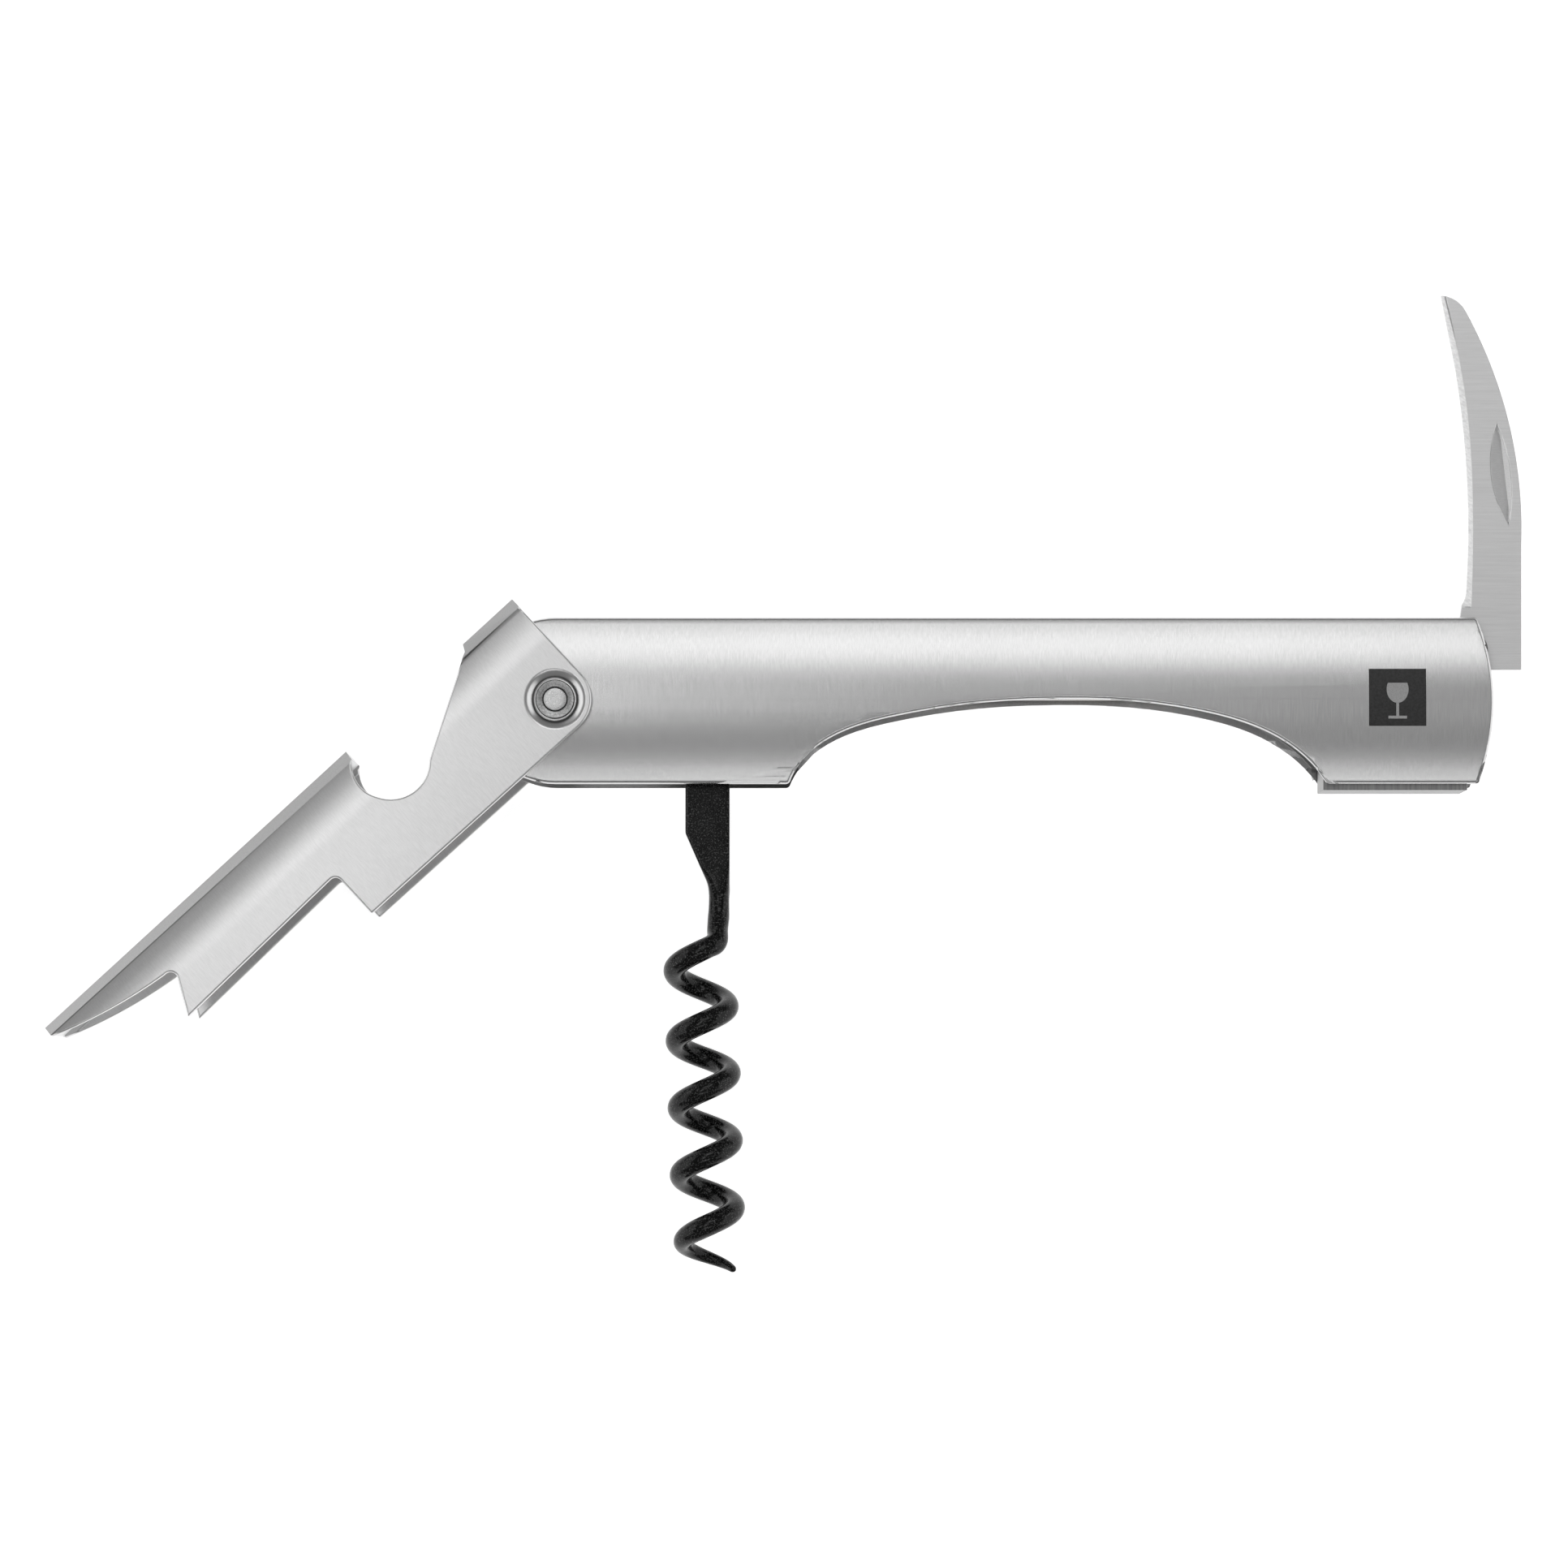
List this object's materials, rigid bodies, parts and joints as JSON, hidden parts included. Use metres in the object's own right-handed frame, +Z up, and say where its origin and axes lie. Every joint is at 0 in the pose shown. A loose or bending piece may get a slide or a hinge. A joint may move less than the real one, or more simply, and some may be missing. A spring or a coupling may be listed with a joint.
{
  "type": "waiters corkscrew",
  "caption": "Folding waiters corkscrew with a steel handle, a one-step lever with cap lifter, a black worm and a foil blade.",
  "frame": {"origin": "centre of the underside of the opened tool lying on its side, on the surface that it lies on", "axes": "+X along the handle towards the blade, +Y across the handle towards the open blade's tip, +Z up through the thickness"},
  "size_m": [0.1826, 0.1216, 0.0162],
  "materials": {
    "shell_steel": "fine brushed satin stainless steel",
    "lever_steel": "fine satin stainless steel",
    "inner_steel": "dark brushed stainless steel",
    "spring_steel": "ground spring steel",
    "rivet_steel": "turned and polished stainless steel",
    "blade_steel": "cross-brushed stainless blade steel",
    "worm_coating": "black non-stick coating, fine orange peel",
    "washer_polymer": "slippery off-white polymer",
    "emblem_enamel": "dark satin enamel tile"
  },
  "bodies": {
    "handle": {"front_shell": "shell_steel", "rear_shell": "shell_steel", "front_liner": "inner_steel", "rear_liner": "inner_steel", "emblem_plate": "emblem_enamel", "spine_bar": "inner_steel", "spine_rivets": "rivet_steel", "back_spring": "spring_steel", "spring_rivets": "rivet_steel", "butt_filler": "inner_steel", "butt_rivets": "rivet_steel", "lever_washer_front": "washer_polymer", "lever_washer_rear": "washer_polymer", "worm_pin": "rivet_steel", "worm_spacer_front": "inner_steel", "worm_spacer_rear": "inner_steel", "blade_pin": "rivet_steel", "blade_spacer_front": "inner_steel", "blade_spacer_rear": "inner_steel"},
    "rivet": {"rivet_sleeve": "rivet_steel", "rivet_pin": "rivet_steel"},
    "lever": {"lever": "lever_steel"},
    "worm": {"worm": "worm_coating"},
    "blade": {"blade": "blade_steel"}
  },
  "joints": [
    {"name": "lever_swing", "type": "hinge", "parent": "handle", "child": "rivet", "pos_m": [-0.02863, 0.0099, 0.0081], "axis": [0, 0, 1], "range_deg": [-50, 55]},
    {"name": "lever_fold", "type": "hinge", "parent": "rivet", "child": "lever", "pos_m": [-0.02863, 0.0099, 0.0081], "axis": [0, 0, 1], "range_deg": [0, 82.3]},
    {"name": "worm_fold", "type": "hinge", "parent": "handle", "child": "worm", "pos_m": [-0.00992, 0.0046, 0.0081], "axis": [0, 0, 1], "range_deg": [0, 90]},
    {"name": "blade_fold", "type": "hinge", "parent": "handle", "child": "blade", "pos_m": [0.08388, 0.0161, 0.0081], "axis": [0, 0, 1], "range_deg": [-90, 90]}
  ],
  "couplings": [
    {"joint": "worm_fold", "follows": "lever_fold", "ratio": 1.0935}
  ]
}
